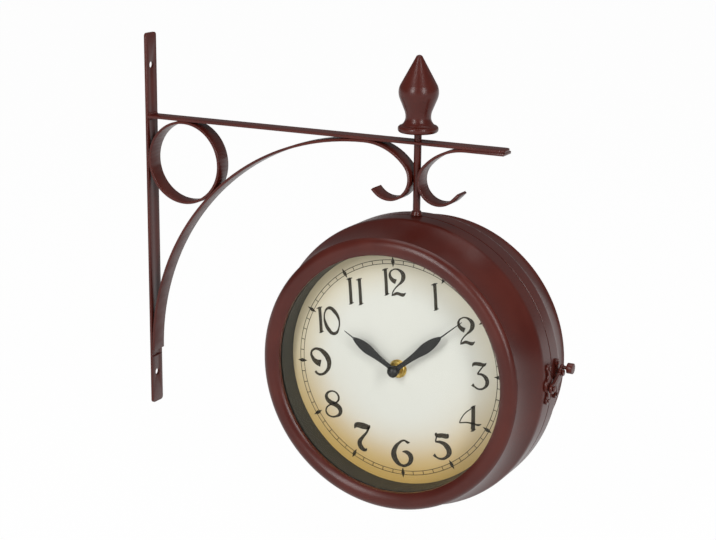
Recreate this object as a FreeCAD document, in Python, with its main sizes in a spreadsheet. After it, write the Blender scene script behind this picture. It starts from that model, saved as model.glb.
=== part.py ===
import FreeCAD, Part
import os
import Sketcher
from FreeCAD import Placement, Rotation, Vector

# Double sided station clock on a scrolled wall bracket, in millimetres.
# The origin lies on the wall, midway between the two screw holes. +X runs out from the wall along the
# arm, +Z is up, and the dial that faces -Y is the one on the hinged half of the case.
#
# Each clock side is drawn in its own frame, centred on the case: x to the viewer's right, y up and z
# outwards to that viewer, with the case's mid-plane at z = 0.

SIZES = {
    # Bracket, bent and welded from one flat bar
    "strip_width": 14.0,
    "strip_thickness": 2.0,
    "bar_height": 300.0,
    "bar_above_arm": 64.0,
    "bar_corner": 2.5,
    "screw_hole_radius": 2.75,
    "screw_hole_inset": 25.0,
    "arm_length": 300.0,
    "arm_corner": 4.0,
    "brace_radius": 189.4,
    "scroll_radius": 16.2,
    "scroll_drop": 28.4,
    "scroll_tip_turn": 45.0,
    "brace_bend_radius": 43.5,
    "brace_tip_length": 3.0,
    "end_bend_radius": 43.5,
    "end_tip_length": 6.5,
    "weld_gap": 0.02,
    # Hanging rod and finial
    "rod_radius": 2.75,
    "rod_reach": 232.0,
    "rod_hole_clearance": 0.05,
    "finial_gap": 6.2,
    "finial_height": 56.0,
    "finial_base_radius": 14.8,
    "finial_base_height": 5.0,
    "finial_rim": 2.2,
    "finial_neck_radius": 9.3,
    "finial_neck_height": 11.2,
    "finial_waist_bend": 13.0,
    "finial_waist_turn": 22.5,
    "finial_bulb_radius": 14.6,
    "finial_bulb_height": 29.2,
    "finial_crown_bend": 6.0,
    "finial_crown_turn": 27.0,
    "finial_tip_radius": 2.8,
    "finial_tip_drop": 2.1,
    "finial_bore_depth": 18.0,
    "rod_washer_radius": 7.0,
    "rod_washer_thickness": 1.0,
    "rod_nut_flats": 8.8,
    "rod_nut_height": 3.6,
    "rod_end": 1.5,
    "collar_radius": 4.3,
    "collar_top_radius": 3.6,
    "collar_height": 3.0,
    "collar_gap": 0.4,
    # Spun steel case, both halves
    "hang_drop": 55.5,
    "case_radius": 110.0,
    "case_half_depth": 50.0,
    "case_wall": 0.9,
    "front_rim_gap": 0.5,
    "rear_rim_gap": 0.7,
    "spigot_step": 1.6,
    "spigot_reach": 6.5,
    "shoulder_start": 12.5,
    "shoulder_radius": 8.0,
    "shoulder_turn": 30.0,
    "cove_radius": 58.0,
    "neck_inset": 8.8,
    "neck_drop": 6.8,
    "bead_inset": 7.9,
    "bead_rise": 4.2,
    "crown_inset": 14.0,
    "lip_inset": 20.7,
    "lip_drop": 3.2,
    "hem_drop": 6.0,
    "rod_notch_clearance": 0.7,
    # Behind each bezel
    "glass_thickness": 2.0,
    "glass_lap": 3.7,
    "sleeve_depth": 15.4,
    "sleeve_wall": 1.5,
    "sleeve_foot": 1.6,
    "sleeve_inset": 0.8,
    "dial_thickness": 0.6,
    "dial_hole_clearance": 0.3,
    "retainer_thickness": 1.0,
    "retainer_clearance": 0.3,
    "retainer_lap": 7.0,
    "seat_gap": 0.02,
    # Quartz movement
    "movement_side": 56.0,
    "movement_depth": 15.6,
    "movement_corner": 4.0,
    "battery_radius": 7.0,
    "battery_length": 49.2,
    "battery_button_radius": 2.7,
    "battery_button_length": 1.2,
    "battery_drop": 18.4,
    "battery_clearance": 0.4,
    "set_wheel_radius": 6.5,
    "set_wheel_thickness": 2.4,
    "set_wheel_rise": 14.5,
    "set_wheel_shaft_radius": 1.5,
    "set_wheel_shaft_length": 4.0,
    "running_clearance": 0.08,
    "bush_radius": 4.0,
    "bush_length": 4.0,
    "bush_sunk": 2.0,
    "washer_radius": 7.0,
    "washer_thickness": 0.5,
    "nut_radius": 6.2,
    "nut_thickness": 2.4,
    # Hands and the arbors that carry them
    "tube_radius": 2.55,
    "arbor_radius": 1.5,
    "arbor_sunk": 9.0,
    "hand_thickness": 0.5,
    "hand_gap": 0.4,
    "collet_radius": 3.6,
    "collet_height": 1.0,
    "hour_hand_length": 48.3,
    "hour_hand_shoulder": 38.6,
    "hour_hand_belly": 22.0,
    "hour_hand_half_width": 3.4,
    "minute_hand_length": 70.0,
    "minute_hand_shoulder": 47.7,
    "minute_hand_belly": 31.0,
    "minute_hand_half_width": 3.7,
    "needle_half_width": 0.55,
    "hand_root_half_width": 2.0,
    "cap_nut_radius": 4.3,
    "cap_nut_height": 3.6,
    "hour_hand_angle": 300.5,
    "minute_hand_angle": 50.0,
    # Hinge on the wall side of the case
    "hinge_height": 24.0,
    "hinge_barrel_radius": 2.6,
    "hinge_pin_radius": 1.3,
    "hinge_pin_head": 1.2,
    "hinge_leaf_width": 13.0,
    "hinge_leaf_thickness": 1.0,
    "hinge_knuckle_gap": 0.3,
    "hinge_rivet_radius": 1.2,
    "hinge_rivet_head_radius": 2.1,
    "rivet_head_height": 0.7,
    # Cast hook latch on the outer side of the case
    "latch_plate_height": 30.0,
    "latch_plate_width": 11.0,
    "latch_plate_thickness": 1.8,
    "latch_plate_offset": 8.4,
    "latch_nail_radius": 0.8,
    "latch_nail_head_radius": 1.5,
    "latch_nail_head_rise": 0.25,
    "latch_pivot_rise": -2.4,
    "latch_hook_tilt": 24.0,
    "latch_hook_thickness": 2.2,
    "latch_stud_radius": 1.6,
    "latch_stud_head_radius": 2.3,
    "latch_stud_head_height": 1.2,
    "latch_slack": 0.3,
    "latch_hook_lift": 0.7,
    "latch_eye_radius": 3.6,
    "latch_head_radius": 4.0,
    "latch_knob_radius": 3.9,
    "latch_knob_height": 4.2,
    "latch_knob_stand_off": 3.2,
    "latch_knob_reach": 3.4,
    "latch_knob_stem_radius": 1.4,
}


class Size:
    """A length together with the sheet expression that gives it."""

    def __init__(self, value, text):
        self.value = value
        self.text = text

    def __add__(self, other):
        other = as_size(other)
        return Size(self.value + other.value, f"({self.text} + {other.text})")

    def __sub__(self, other):
        other = as_size(other)
        return Size(self.value - other.value, f"({self.text} - {other.text})")

    def __mul__(self, other):
        other = as_size(other)
        return Size(self.value * other.value, f"({self.text} * {other.text})")

    def __truediv__(self, other):
        other = as_size(other)
        return Size(self.value / other.value, f"({self.text} / {other.text})")

    def __neg__(self):
        return Size(-self.value, f"(0 - {self.text})")

    __radd__ = __add__
    __rmul__ = __mul__

    def root(self):
        return Size(self.value ** 0.5, f"sqrt({self.text})")

    def turned(self):
        """The cosine and sine of this angle in degrees."""
        radians = self.value * FreeCAD.Units.Quantity("1 deg").getValueAs("rad").Value
        along = Rotation(Vector(0, 0, 1), Radian=radians).multVec(Vector(1, 0, 0))
        return Size(along.x, f"cos({self.text})"), Size(along.y, f"sin({self.text})")


def as_size(number):
    return number if isinstance(number, Size) else Size(float(number), f"({float(number)})")


class Driving:
    """Reads the driving sizes from the sheet as Size values."""

    def __init__(self, sheet):
        self.sheet = sheet

    def __getattr__(self, name):
        return Size(float(getattr(self.sheet, name)), f"{self.sheet.Name}.{name}")


document = FreeCAD.newDocument("StationClock")
sizes_sheet = document.addObject("Spreadsheet::Sheet", "Sizes")
for row, (name, number) in enumerate(SIZES.items(), start=1):
    sizes_sheet.set(f"A{row}", name)
    sizes_sheet.set(f"B{row}", str(number))
    sizes_sheet.setAlias(f"B{row}", name)
document.recompute()
size = Driving(sizes_sheet)
sub_parts = []

UPRIGHT = Rotation(Vector(1, 0, 0), 90)
FACINGS = {"front": UPRIGHT, "rear": Rotation(Vector(0, 0, 1), 180) * UPRIGHT}


# ---- Drawing helpers -------------------------------------------------------------------------------


def bind(thing, prop, length):
    thing.setExpression(prop, as_size(length).text)


def place(thing, x=0, y=0, z=0, rotation=Rotation()):
    """Put a piece where the sheet says."""
    x, y, z = as_size(x), as_size(y), as_size(z)
    thing.Placement = Placement(Vector(x.value, y.value, z.value), rotation)
    bind(thing, ".Placement.Base.x", x)
    bind(thing, ".Placement.Base.y", y)
    bind(thing, ".Placement.Base.z", z)


def keep(thing, label):
    """Name a finished sub-part and put it on the list of pieces to write."""
    thing.Label = label
    sub_parts.append(thing)
    return thing


def new_body(label):
    body = document.addObject("PartDesign::Body", f"{label}_body")
    return keep(body, label)


def arc_between(start, end, radius):
    """The shorter arc from start to end; a positive radius bends to the left."""
    chord = end - start
    offset = (radius * radius - chord.Length * chord.Length / 4) ** 0.5
    left = Vector(-chord.y, chord.x, 0).normalize()
    centre = start + chord / 2 + left * (offset if radius > 0 else -offset)
    first, last = (start, end) if radius > 0 else (end, start)
    middle = start + chord / 2 - centre
    outward = middle.normalize() if middle.Length > 1e-9 else left * (-1 if radius > 0 else 1)
    return Part.Arc(first, centre + outward * abs(radius), last)


def new_sketch(body, plane, start=0):
    sketch = body.newObject("Sketcher::SketchObject", f"{body.Name}_sketch")
    planes = [item for item in body.Origin.OriginFeatures if item.Role == plane]
    sketch.AttachmentSupport = [(planes[0], "")]
    sketch.MapMode = "FlatFace"
    bind(sketch, ".AttachmentOffset.Base.z", start)
    return sketch


def constrain(sketch, constraints, lengths):
    """Add the constraints and bind those that carry a length to the sheet."""
    first = sketch.ConstraintCount
    sketch.addConstraint(constraints)
    for offset, length in lengths:
        bind(sketch, f"Constraints[{first + offset}]", length)


def outline(body, plane, corners, start=0):
    """A closed sketch through corners (x, y) or (x, y, bend), with bend the radius of the arc to the
    next corner, positive where it turns left."""
    sketch = new_sketch(body, plane, start)
    points = [Vector(as_size(c[0]).value, as_size(c[1]).value, 0) for c in corners]
    bends = [as_size(c[2]) if len(c) > 2 else None for c in corners]
    constraints, lengths = [], []
    for number, bend in enumerate(bends):
        following = points[(number + 1) % len(points)]
        if bend is None:
            sketch.addGeometry(Part.LineSegment(points[number], following), False)
        else:
            sketch.addGeometry(arc_between(points[number], following, bend.value), False)
            lengths.append((len(constraints), bend if bend.value > 0 else -bend))
            constraints.append(Sketcher.Constraint("Radius", number, abs(bend.value)))
    for number, corner in enumerate(corners):
        before = (number - 1) % len(corners)
        head = 2 if bends[number] is not None and bends[number].value < 0 else 1
        tail = 1 if bends[before] is not None and bends[before].value < 0 else 2
        constraints.append(Sketcher.Constraint("Coincident", before, tail, number, head))
        for kind, length in (("DistanceX", corner[0]), ("DistanceY", corner[1])):
            lengths.append((len(constraints), as_size(length)))
            constraints.append(Sketcher.Constraint(kind, -1, 1, number, head, as_size(length).value))
    constrain(sketch, constraints, lengths)
    return sketch


def circles(body, plane, rounds, start=0):
    """A sketch of circles (x, y, radius)."""
    sketch = new_sketch(body, plane, start)
    for number, (x, y, radius) in enumerate(rounds):
        x, y, radius = as_size(x), as_size(y), as_size(radius)
        sketch.addGeometry(Part.Circle(Vector(x.value, y.value, 0), Vector(0, 0, 1), radius.value), False)
        constraints = [
            Sketcher.Constraint("DistanceX", -1, 1, number, 3, x.value),
            Sketcher.Constraint("DistanceY", -1, 1, number, 3, y.value),
            Sketcher.Constraint("Radius", number, radius.value),
        ]
        constrain(sketch, constraints, list(enumerate((x, y, radius))))
    return sketch


def pad(body, sketch, thickness, symmetric=False):
    feature = body.newObject("PartDesign::Pad", f"{body.Name}_pad")
    feature.Profile = sketch
    feature.SideType = "Symmetric" if symmetric else "One side"
    bind(feature, "Length", thickness)
    body.Tip = feature
    return feature


def pocket(body, sketch, depth):
    """Cut from the sketch along its normal."""
    feature = body.newObject("PartDesign::Pocket", f"{body.Name}_pocket")
    feature.Profile = sketch
    feature.Reversed = True
    bind(feature, "Length", depth)
    body.Tip = feature
    return feature


def turn(body, corners):
    """Revolve an (r, z) outline about the body's z axis."""
    sketch = outline(body, "XZ_Plane", corners)
    feature = body.newObject("PartDesign::Revolution", f"{body.Name}_turn")
    feature.Profile = sketch
    feature.ReferenceAxis = (sketch, ["V_Axis"])
    feature.Angle = 360
    body.Tip = feature
    return feature


def ring_corners(inner, outer, low, high):
    return [(inner, low), (outer, low), (outer, high), (inner, high)]


def rounded_corners(x, y, width, height, radius):
    """A rounded rectangle about (x, y), anticlockwise."""
    left, right = x - width / 2, x + width / 2
    bottom, top = y - height / 2, y + height / 2
    return [
        (left + radius, bottom), (right - radius, bottom, radius),
        (right, bottom + radius), (right, top - radius, radius),
        (right - radius, top), (left + radius, top, radius),
        (left, top - radius), (left, bottom + radius, radius),
    ]


def bulge_radius(run, rise):
    """Radius of an arc that starts level and falls by rise over run."""
    return (run * run + rise * rise) / (rise * 2)


# ---- Shared places ---------------------------------------------------------------------------------

half_strip = size.strip_thickness / 2
arm_z = size.bar_height / 2 - size.bar_above_arm
case_z = arm_z - size.hang_drop - size.case_radius
arm_under = -size.strip_thickness
root_two = as_size(2).root()
ring_radius = size.brace_radius * (root_two - 1) * (root_two - 1)
neck_radius = size.case_radius - size.neck_inset
lip_radius = size.case_radius - size.lip_inset
glass_out = size.case_half_depth - size.hem_drop
glass_radius = lip_radius + size.glass_lap
dial_face = glass_out - size.glass_thickness - size.sleeve_depth
dial_back = dial_face - size.dial_thickness
movement_back = dial_back - size.movement_depth
nut_face = dial_face + size.washer_thickness + size.nut_thickness
bush_tip = dial_back + size.bush_length + size.washer_thickness + size.dial_thickness
hour_hand_z = bush_tip + size.hand_gap + size.collet_height
tube_tip = hour_hand_z + size.hand_thickness * 2
minute_hand_z = tube_tip + size.hand_gap + size.collet_height
arbor_tip = minute_hand_z + size.hand_thickness * 3
spigot_radius = size.case_radius - size.spigot_step
spigot_inner = spigot_radius - size.case_wall
washer_seat = (spigot_inner * spigot_inner - size.rod_washer_radius * size.rod_washer_radius).root()
rod_washer_low = washer_seat - size.seat_gap - size.rod_washer_thickness
rod_nut_low = rod_washer_low - size.seat_gap - size.rod_nut_height
shoulder_cosine, shoulder_sine = size.shoulder_turn.turned()
shoulder_r = size.case_radius - size.shoulder_radius * (as_size(1) - shoulder_cosine)
shoulder_z = size.shoulder_start + size.shoulder_radius * shoulder_sine


# ---- Bracket ---------------------------------------------------------------------------------------


def make_wall_bar():
    """Upright flat strip with a screw hole near each end."""
    body = new_body("wall_bar")
    corners = rounded_corners(as_size(0), as_size(0), size.strip_width, size.bar_height, size.bar_corner)
    pad(body, outline(body, "YZ_Plane", corners), size.strip_thickness)
    hole_z = size.bar_height / 2 - size.screw_hole_inset
    holes = [(0, hole_z, size.screw_hole_radius), (0, -hole_z, size.screw_hole_radius)]
    pocket(body, circles(body, "YZ_Plane", holes), size.strip_thickness)
    place(body)


def make_top_arm():
    """Flat strip lying level, welded to the bar and drilled for the rod."""
    body = new_body("top_arm")
    root = size.strip_thickness + size.weld_gap
    tip = root + size.arm_length
    side, corner = size.strip_width / 2, size.arm_corner
    corners = [
        (root, -side), (tip - corner, -side, corner), (tip, corner - side), (tip, side - corner, corner),
        (tip - corner, side), (root, side),
    ]
    pad(body, outline(body, "XY_Plane", corners, arm_under), size.strip_thickness)
    hole = [(size.rod_reach, 0, size.rod_radius + size.rod_hole_clearance)]
    pocket(body, circles(body, "XY_Plane", hole, arm_under), size.strip_thickness)
    place(body, z=arm_z)


def make_corner_ring():
    """Rolled hoop that touches the bar, the arm and the brace."""
    body = new_body("corner_ring")
    outer = ring_radius - size.weld_gap
    hoop = [(0, 0, outer), (0, 0, outer - size.strip_thickness)]
    pad(body, circles(body, "XZ_Plane", hoop), size.strip_width, symmetric=True)
    place(body, x=size.strip_thickness + ring_radius, z=arm_z + arm_under - ring_radius)


def strip_outline(path):
    """Both sides of a bent strip. Each path entry is its centre line's x and z, its direction's x and
    z, and the centre line radius of the right-hand bend that follows, or None where it runs straight."""
    left, right = [], []
    for x, z, along_x, along_z, bend in path:
        left_x, left_z = x - along_z * half_strip, z + along_x * half_strip
        right_x, right_z = x + along_z * half_strip, z - along_x * half_strip
        left.append((left_x, left_z) if bend is None else (left_x, left_z, -(bend + half_strip)))
        right.append((right_x, right_z))
    back = []
    for number in reversed(range(len(path))):
        bend = path[number - 1][4] if number > 0 else None
        inner = (bend - half_strip,) if bend is not None else ()
        back.append(right[number] + inner)
    return left[:-1] + [left[-1][:2]] + back


def scroll_path(centre_x, bend, tip_length, level_z):
    """The curl of a strip that leaves the arm level, bends down beside the rod and turns back up. It is
    drawn for a rod on its right."""
    centre_z = -size.scroll_drop
    radius = size.scroll_radius
    cosine = (centre_z - level_z + bend) / (bend - radius)
    sine = (as_size(1) - cosine * cosine).root()
    tip_cosine, tip_sine = size.scroll_tip_turn.turned()
    end_x, end_z = centre_x - radius * tip_sine, centre_z - radius * tip_cosine
    one, none = as_size(1), as_size(0)
    return [
        (centre_x - (bend - radius) * sine, level_z, one, none, bend),
        (centre_x + radius * sine, centre_z + radius * cosine, cosine, -sine, radius),
        (centre_x + radius, centre_z, none, -one, radius),
        (centre_x, centre_z - radius, -one, none, radius),
        (end_x, end_z, -tip_cosine, tip_sine, None),
        (end_x - tip_length * tip_cosine, end_z + tip_length * tip_sine, -tip_cosine, tip_sine, None),
    ]


def make_brace():
    """Curved strip from the bar, round the hoop and under the arm to the scroll beside the rod."""
    body = new_body("brace")
    gap = size.weld_gap
    level_z = arm_under - half_strip - gap
    foot_x = size.strip_thickness + half_strip + gap
    curve = size.brace_radius - half_strip
    scroll_x = size.rod_reach - size.rod_radius - half_strip - gap - size.scroll_radius
    up = (foot_x, level_z - curve, as_size(0), as_size(1), curve)
    under = (foot_x + curve, level_z, as_size(1), as_size(0), None)
    path = [up, under] + scroll_path(scroll_x, size.brace_bend_radius, size.brace_tip_length, level_z)
    pad(body, outline(body, "XZ_Plane", strip_outline(path)), size.strip_width, symmetric=True)
    place(body, z=arm_z)


def make_end_scroll():
    """Strip from the arm's outer end back to the other side of the rod. Its outline is drawn mirrored,
    so it is turned half round about the rod."""
    body = new_body("end_scroll")
    gap = size.weld_gap
    level_z = arm_under - half_strip - gap
    scroll_x = -(size.rod_radius + half_strip + gap + size.scroll_radius)
    end_x = size.rod_reach - size.strip_thickness - size.arm_length
    start = (end_x, level_z, as_size(1), as_size(0), None)
    path = [start] + scroll_path(scroll_x, size.end_bend_radius, size.end_tip_length, level_z)
    pad(body, outline(body, "XZ_Plane", strip_outline(path)), size.strip_width, symmetric=True)
    place(body, x=size.rod_reach, z=arm_z, rotation=Rotation(Vector(0, 0, 1), 180))


# ---- Rod and finial --------------------------------------------------------------------------------


def make_hanger_rod():
    """Round rod from inside the finial, through the arm, to inside the case."""
    body = new_body("hanger_rod")
    top = size.finial_gap + size.finial_bore_depth
    bottom = case_z + rod_nut_low - size.rod_end - arm_z
    pad(body, circles(body, "XY_Plane", [(0, 0, size.rod_radius)], bottom), top - bottom)
    place(body, x=size.rod_reach, z=arm_z)


def make_finial():
    """Turned knob screwed on the rod's top, a little rod showing under it."""
    body = new_body("finial")
    rim, base, height = size.finial_rim, size.finial_base_radius, size.finial_base_height
    bore = size.rod_radius + size.rod_hole_clearance
    neck, neck_z, waist = size.finial_neck_radius, size.finial_neck_height, size.finial_waist_bend
    bulb, bulb_z, crown = size.finial_bulb_radius, size.finial_bulb_height, size.finial_crown_bend
    tip, tip_drop, top = size.finial_tip_radius, size.finial_tip_drop, size.finial_height
    flare = bulge_radius(neck_z - height, base - rim - neck)
    waist_cosine, waist_sine = size.finial_waist_turn.turned()
    crown_cosine, crown_sine = size.finial_crown_turn.turned()
    waist_run, waist_rise = waist * (as_size(1) - waist_cosine), waist * waist_sine
    crown_run, crown_rise = crown * (as_size(1) - crown_cosine), crown * crown_sine
    corners = [
        (bore, 0), (base - rim, 0, rim), (base, rim), (base, height - rim, rim),
        (base - rim, height, -flare), (neck, neck_z, -waist), (neck + waist_run, neck_z + waist_rise),
        (bulb - waist_run, bulb_z - waist_rise, waist), (bulb, bulb_z, crown),
        (bulb - crown_run, bulb_z + crown_rise), (tip, top - tip_drop, bulge_radius(tip, tip_drop)),
        (0, top), (0, size.finial_bore_depth), (bore, size.finial_bore_depth),
    ]
    turn(body, corners)
    place(body, x=size.rod_reach, z=arm_z + size.finial_gap)


def make_rod_collar():
    """Small tapered collar at the rod's foot, just above the case."""
    body = new_body("rod_collar")
    bore = size.rod_radius + size.rod_hole_clearance
    foot, top = size.collar_radius, size.collar_top_radius
    turn(body, [(bore, 0), (foot, 0), (foot, size.collar_height / 3), (top, size.collar_height),
                (bore, size.collar_height)])
    place(body, x=size.rod_reach, z=arm_z - size.hang_drop + size.collar_gap)


def make_rod_washer():
    """Washer under the case's spigot, inside."""
    body = new_body("rod_washer")
    bore = size.rod_radius + size.rod_hole_clearance
    turn(body, ring_corners(bore, size.rod_washer_radius, 0, size.rod_washer_thickness))
    place(body, x=size.rod_reach, z=case_z + rod_washer_low)


def make_rod_nut():
    """Hexagon nut that carries the case on the rod's threaded end."""
    body = new_body("rod_nut")
    flat = size.rod_nut_flats / 2
    half_side = flat / as_size(3).root()
    corners = [
        (flat, -half_side), (flat, half_side), (0, half_side * 2), (-flat, half_side),
        (-flat, -half_side), (0, -(half_side * 2)),
    ]
    pad(body, outline(body, "XY_Plane", corners), size.rod_nut_height)
    bore = [(0, 0, size.rod_radius + size.rod_hole_clearance)]
    pocket(body, circles(body, "XY_Plane", bore), size.rod_nut_height)
    place(body, x=size.rod_reach, z=case_z + rod_nut_low)


# ---- Case halves and what each holds ---------------------------------------------------------------


def place_side(body, side):
    place(body, x=size.rod_reach, z=case_z, rotation=FACINGS[side])


def bezel_corners(outer_rim, inner_rim):
    """Outline of a spun shell between its rim and the hem inside its rolled lip: the band, the rounded
    shoulder, the cove and the bead, then the same way back inside the wall."""
    wall, top = size.case_wall, size.case_half_depth
    radius, inner = size.case_radius, size.case_radius - size.case_wall
    bead, crown = size.case_radius - size.bead_inset, size.case_radius - size.crown_inset
    bead_z, neck_z, lip_z = top - size.bead_rise, top - size.neck_drop, top - size.lip_drop
    hem_z = top - size.hem_drop
    rise_out = bulge_radius(bead - crown, size.bead_rise)
    rise_in = bulge_radius(crown - lip_radius, size.lip_drop)
    under_out = bulge_radius(bead - wall - crown, size.bead_rise - wall)
    under_in = bulge_radius(crown - lip_radius - wall, size.lip_drop - wall)
    shoulder, cove = size.shoulder_radius, size.cove_radius
    return outer_rim + [
        (radius, size.shoulder_start, shoulder), (shoulder_r, shoulder_z, -cove), (neck_radius, neck_z),
        (bead, bead_z, rise_out), (crown, top, rise_in), (lip_radius, lip_z), (lip_radius, hem_z),
        (lip_radius + wall, hem_z), (lip_radius + wall, lip_z, -under_in), (crown, top - wall, -under_out),
        (bead - wall, bead_z), (neck_radius - wall, neck_z, cove + wall),
        (shoulder_r - wall * shoulder_cosine, shoulder_z - wall * shoulder_sine, -(shoulder - wall)),
        (inner, size.shoulder_start),
    ] + inner_rim


def make_shell(side):
    """Spun steel half of the case. The rear half ends in a stepped spigot that the front half's rim
    closes over, and the rod passes through it; the front rim is notched to clear the rod."""
    body = new_body(f"{side}_shell")
    radius, wall = size.case_radius, size.case_wall
    if side == "front":
        rim = size.front_rim_gap
        corners = bezel_corners([(radius, rim)], [(radius - wall, rim)])
        hole = size.rod_radius + size.rod_notch_clearance
    else:
        rim = size.rear_rim_gap
        outer_rim = [(spigot_radius, -size.spigot_reach), (spigot_radius, rim), (radius, rim + wall * 2)]
        inner_rim = [(radius - wall, rim + wall * 2.4), (spigot_inner, rim + wall * 0.4),
                     (spigot_inner, -size.spigot_reach)]
        corners = bezel_corners(outer_rim, inner_rim)
        hole = size.rod_radius + size.rod_hole_clearance
    turn(body, corners)
    before = body.Tip
    cut = pocket(body, circles(body, "XZ_Plane", [(0, 0, hole)]), radius + wall)
    cut.Reversed = False
    document.recompute()
    if not cut.Shape.Volume < before.Shape.Volume:
        raise RuntimeError(f"the rod hole missed {side}_shell")
    place_side(body, side)


def make_glass(side):
    """Flat pane behind the bezel's hem."""
    body = new_body(f"{side}_glass")
    back = glass_out - size.glass_thickness
    thickness = size.glass_thickness - size.seat_gap
    pad(body, circles(body, "XY_Plane", [(0, 0, glass_radius)], back), thickness)
    place_side(body, side)


def make_sleeve(side):
    """Black spacer ring between the pane and the dial, with a foot on the dial."""
    body = new_body(f"{side}_sleeve")
    top = glass_out - size.glass_thickness - size.seat_gap
    bottom = dial_face + size.seat_gap
    inner = lip_radius - size.sleeve_inset
    outer = lip_radius + size.sleeve_wall
    turn(body, [
        (inner, bottom), (glass_radius, bottom), (glass_radius, bottom + size.sleeve_foot),
        (outer, bottom + size.sleeve_foot), (outer, top), (lip_radius, top),
    ])
    place_side(body, side)


def make_dial(side):
    """Printed dial plate with a hole for the movement's bush."""
    body = new_body(f"{side}_dial")
    pad(body, circles(body, "XY_Plane", [(0, 0, glass_radius)], dial_back), size.dial_thickness)
    hole = [(0, 0, size.bush_radius + size.dial_hole_clearance)]
    pocket(body, circles(body, "XY_Plane", hole, dial_back), size.dial_thickness)
    place_side(body, side)


def make_retainer(side):
    """Dished steel ring from the shoulder inwards, which holds dial, sleeve and pane from behind."""
    body = new_body(f"{side}_retainer")
    thickness, gap = size.retainer_thickness, size.seat_gap
    rim = shoulder_r - size.case_wall - size.retainer_clearance
    rim_z = shoulder_z - thickness
    inner = glass_radius - size.retainer_lap
    top = dial_back - gap
    turn(body, [
        (rim, rim_z - thickness), (rim, rim_z), (glass_radius, top), (inner, top),
        (inner, top - thickness), (glass_radius - thickness / 2, top - thickness),
        (rim - thickness, rim_z - thickness),
    ])
    place_side(body, side)


def make_movement(side):
    """Square quartz movement with an open battery bay and a recess for its setting wheel."""
    body = new_body(f"{side}_movement")
    box = size.movement_side
    depth = size.movement_depth - size.seat_gap
    corners = rounded_corners(as_size(0), as_size(0), box, box, size.movement_corner)
    pad(body, outline(body, "XY_Plane", corners, movement_back), depth)
    bay_width = size.battery_length + size.battery_button_length + size.battery_clearance * 2
    bay_height = (size.battery_radius + size.battery_clearance) * 2
    bay = rounded_corners(as_size(0), -size.battery_drop, bay_width, bay_height, size.case_wall)
    pocket(body, outline(body, "XY_Plane", bay, movement_back), bay_height)
    recess = [(0, size.set_wheel_rise, size.set_wheel_radius + size.battery_clearance)]
    pocket(body, circles(body, "XY_Plane", recess, movement_back), size.set_wheel_thickness)
    stub = [(0, size.set_wheel_rise, size.set_wheel_shaft_radius + size.running_clearance)]
    stub_depth = size.set_wheel_thickness + size.set_wheel_shaft_length + size.hand_gap
    pocket(body, circles(body, "XY_Plane", stub, movement_back), stub_depth)
    seat = dial_back - size.bush_sunk
    pocket(body, circles(body, "XY_Plane", [(0, 0, size.bush_radius + size.seat_gap)], seat), size.bush_sunk)
    well = dial_back - size.arbor_sunk - size.hand_gap
    pocket(body, circles(body, "XY_Plane", [(0, 0, size.tube_radius + size.running_clearance)], well),
           size.arbor_sunk + size.hand_gap)
    place_side(body, side)


def make_bush(side):
    """Threaded brass bush that stands out of the movement through the dial."""
    body = new_body(f"{side}_bush")
    low = dial_back - size.bush_sunk + size.seat_gap
    turn(body, ring_corners(size.tube_radius + size.running_clearance, size.bush_radius, low, bush_tip))
    place_side(body, side)


def make_bush_washer(side):
    body = new_body(f"{side}_bush_washer")
    bore = size.bush_radius + size.rod_hole_clearance
    low = dial_face + size.seat_gap
    turn(body, ring_corners(bore, size.washer_radius, low, low + size.washer_thickness))
    place_side(body, side)


def make_bush_nut(side):
    """Round brass nut, chamfered at its outer edge."""
    body = new_body(f"{side}_bush_nut")
    bore = size.bush_radius + size.rod_hole_clearance
    low = dial_face + size.washer_thickness + size.seat_gap * 2
    chamfer = size.nut_thickness / 4
    turn(body, [
        (bore, low), (size.nut_radius, low), (size.nut_radius, nut_face - chamfer),
        (size.nut_radius - chamfer, nut_face), (bore, nut_face),
    ])
    place_side(body, side)


def make_battery(side):
    """AA cell lying in the movement's bay, its button towards +x."""
    body = new_body(f"{side}_battery")
    length, button = size.battery_length, size.battery_button_length
    turn(body, [
        (0, 0), (size.battery_radius, 0), (size.battery_radius, length),
        (size.battery_button_radius, length), (size.battery_button_radius, length + button),
        (0, length + button),
    ])
    lying = FACINGS[side] * Rotation(Vector(0, 1, 0), 90)
    sign = 1 if side == "front" else -1
    axis_out = movement_back + size.battery_radius + size.battery_clearance / 2
    place(body, x=size.rod_reach - (length + button) / 2 * sign, y=-(axis_out * sign),
          z=case_z - size.battery_drop, rotation=lying)


def make_set_wheel(side):
    """Setting wheel in the movement's back, on its own stub shaft."""
    body = new_body(f"{side}_set_wheel")
    low = movement_back - size.hand_gap
    wheel = size.set_wheel_radius
    pad(body, circles(body, "XY_Plane", [(0, 0, wheel)], low), size.set_wheel_thickness)
    top = low + size.set_wheel_thickness
    pad(body, circles(body, "XY_Plane", [(0, 0, size.set_wheel_shaft_radius)], top),
        size.set_wheel_shaft_length)
    place(body, x=size.rod_reach, z=case_z + size.set_wheel_rise, rotation=FACINGS[side])


# ---- Hands -----------------------------------------------------------------------------------------


def lance_corners(length, shoulder, belly, half_width):
    """Half-turned lance: narrow root, full belly, a shoulder and a needle to the tip, pointing to +y."""
    root, needle = size.hand_root_half_width, size.needle_half_width
    neck = needle * 2.6
    hollow, flank = belly * 4, belly * 1.2
    return [
        (root, 0), (root, size.collet_radius, -hollow), (half_width, belly, flank), (neck, shoulder),
        (needle, shoulder + neck), (needle / 2, length), (-(needle / 2), length),
        (-needle, shoulder + neck), (-neck, shoulder, flank), (-half_width, belly, -hollow),
        (-root, size.collet_radius), (-root, 0),
    ]


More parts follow.
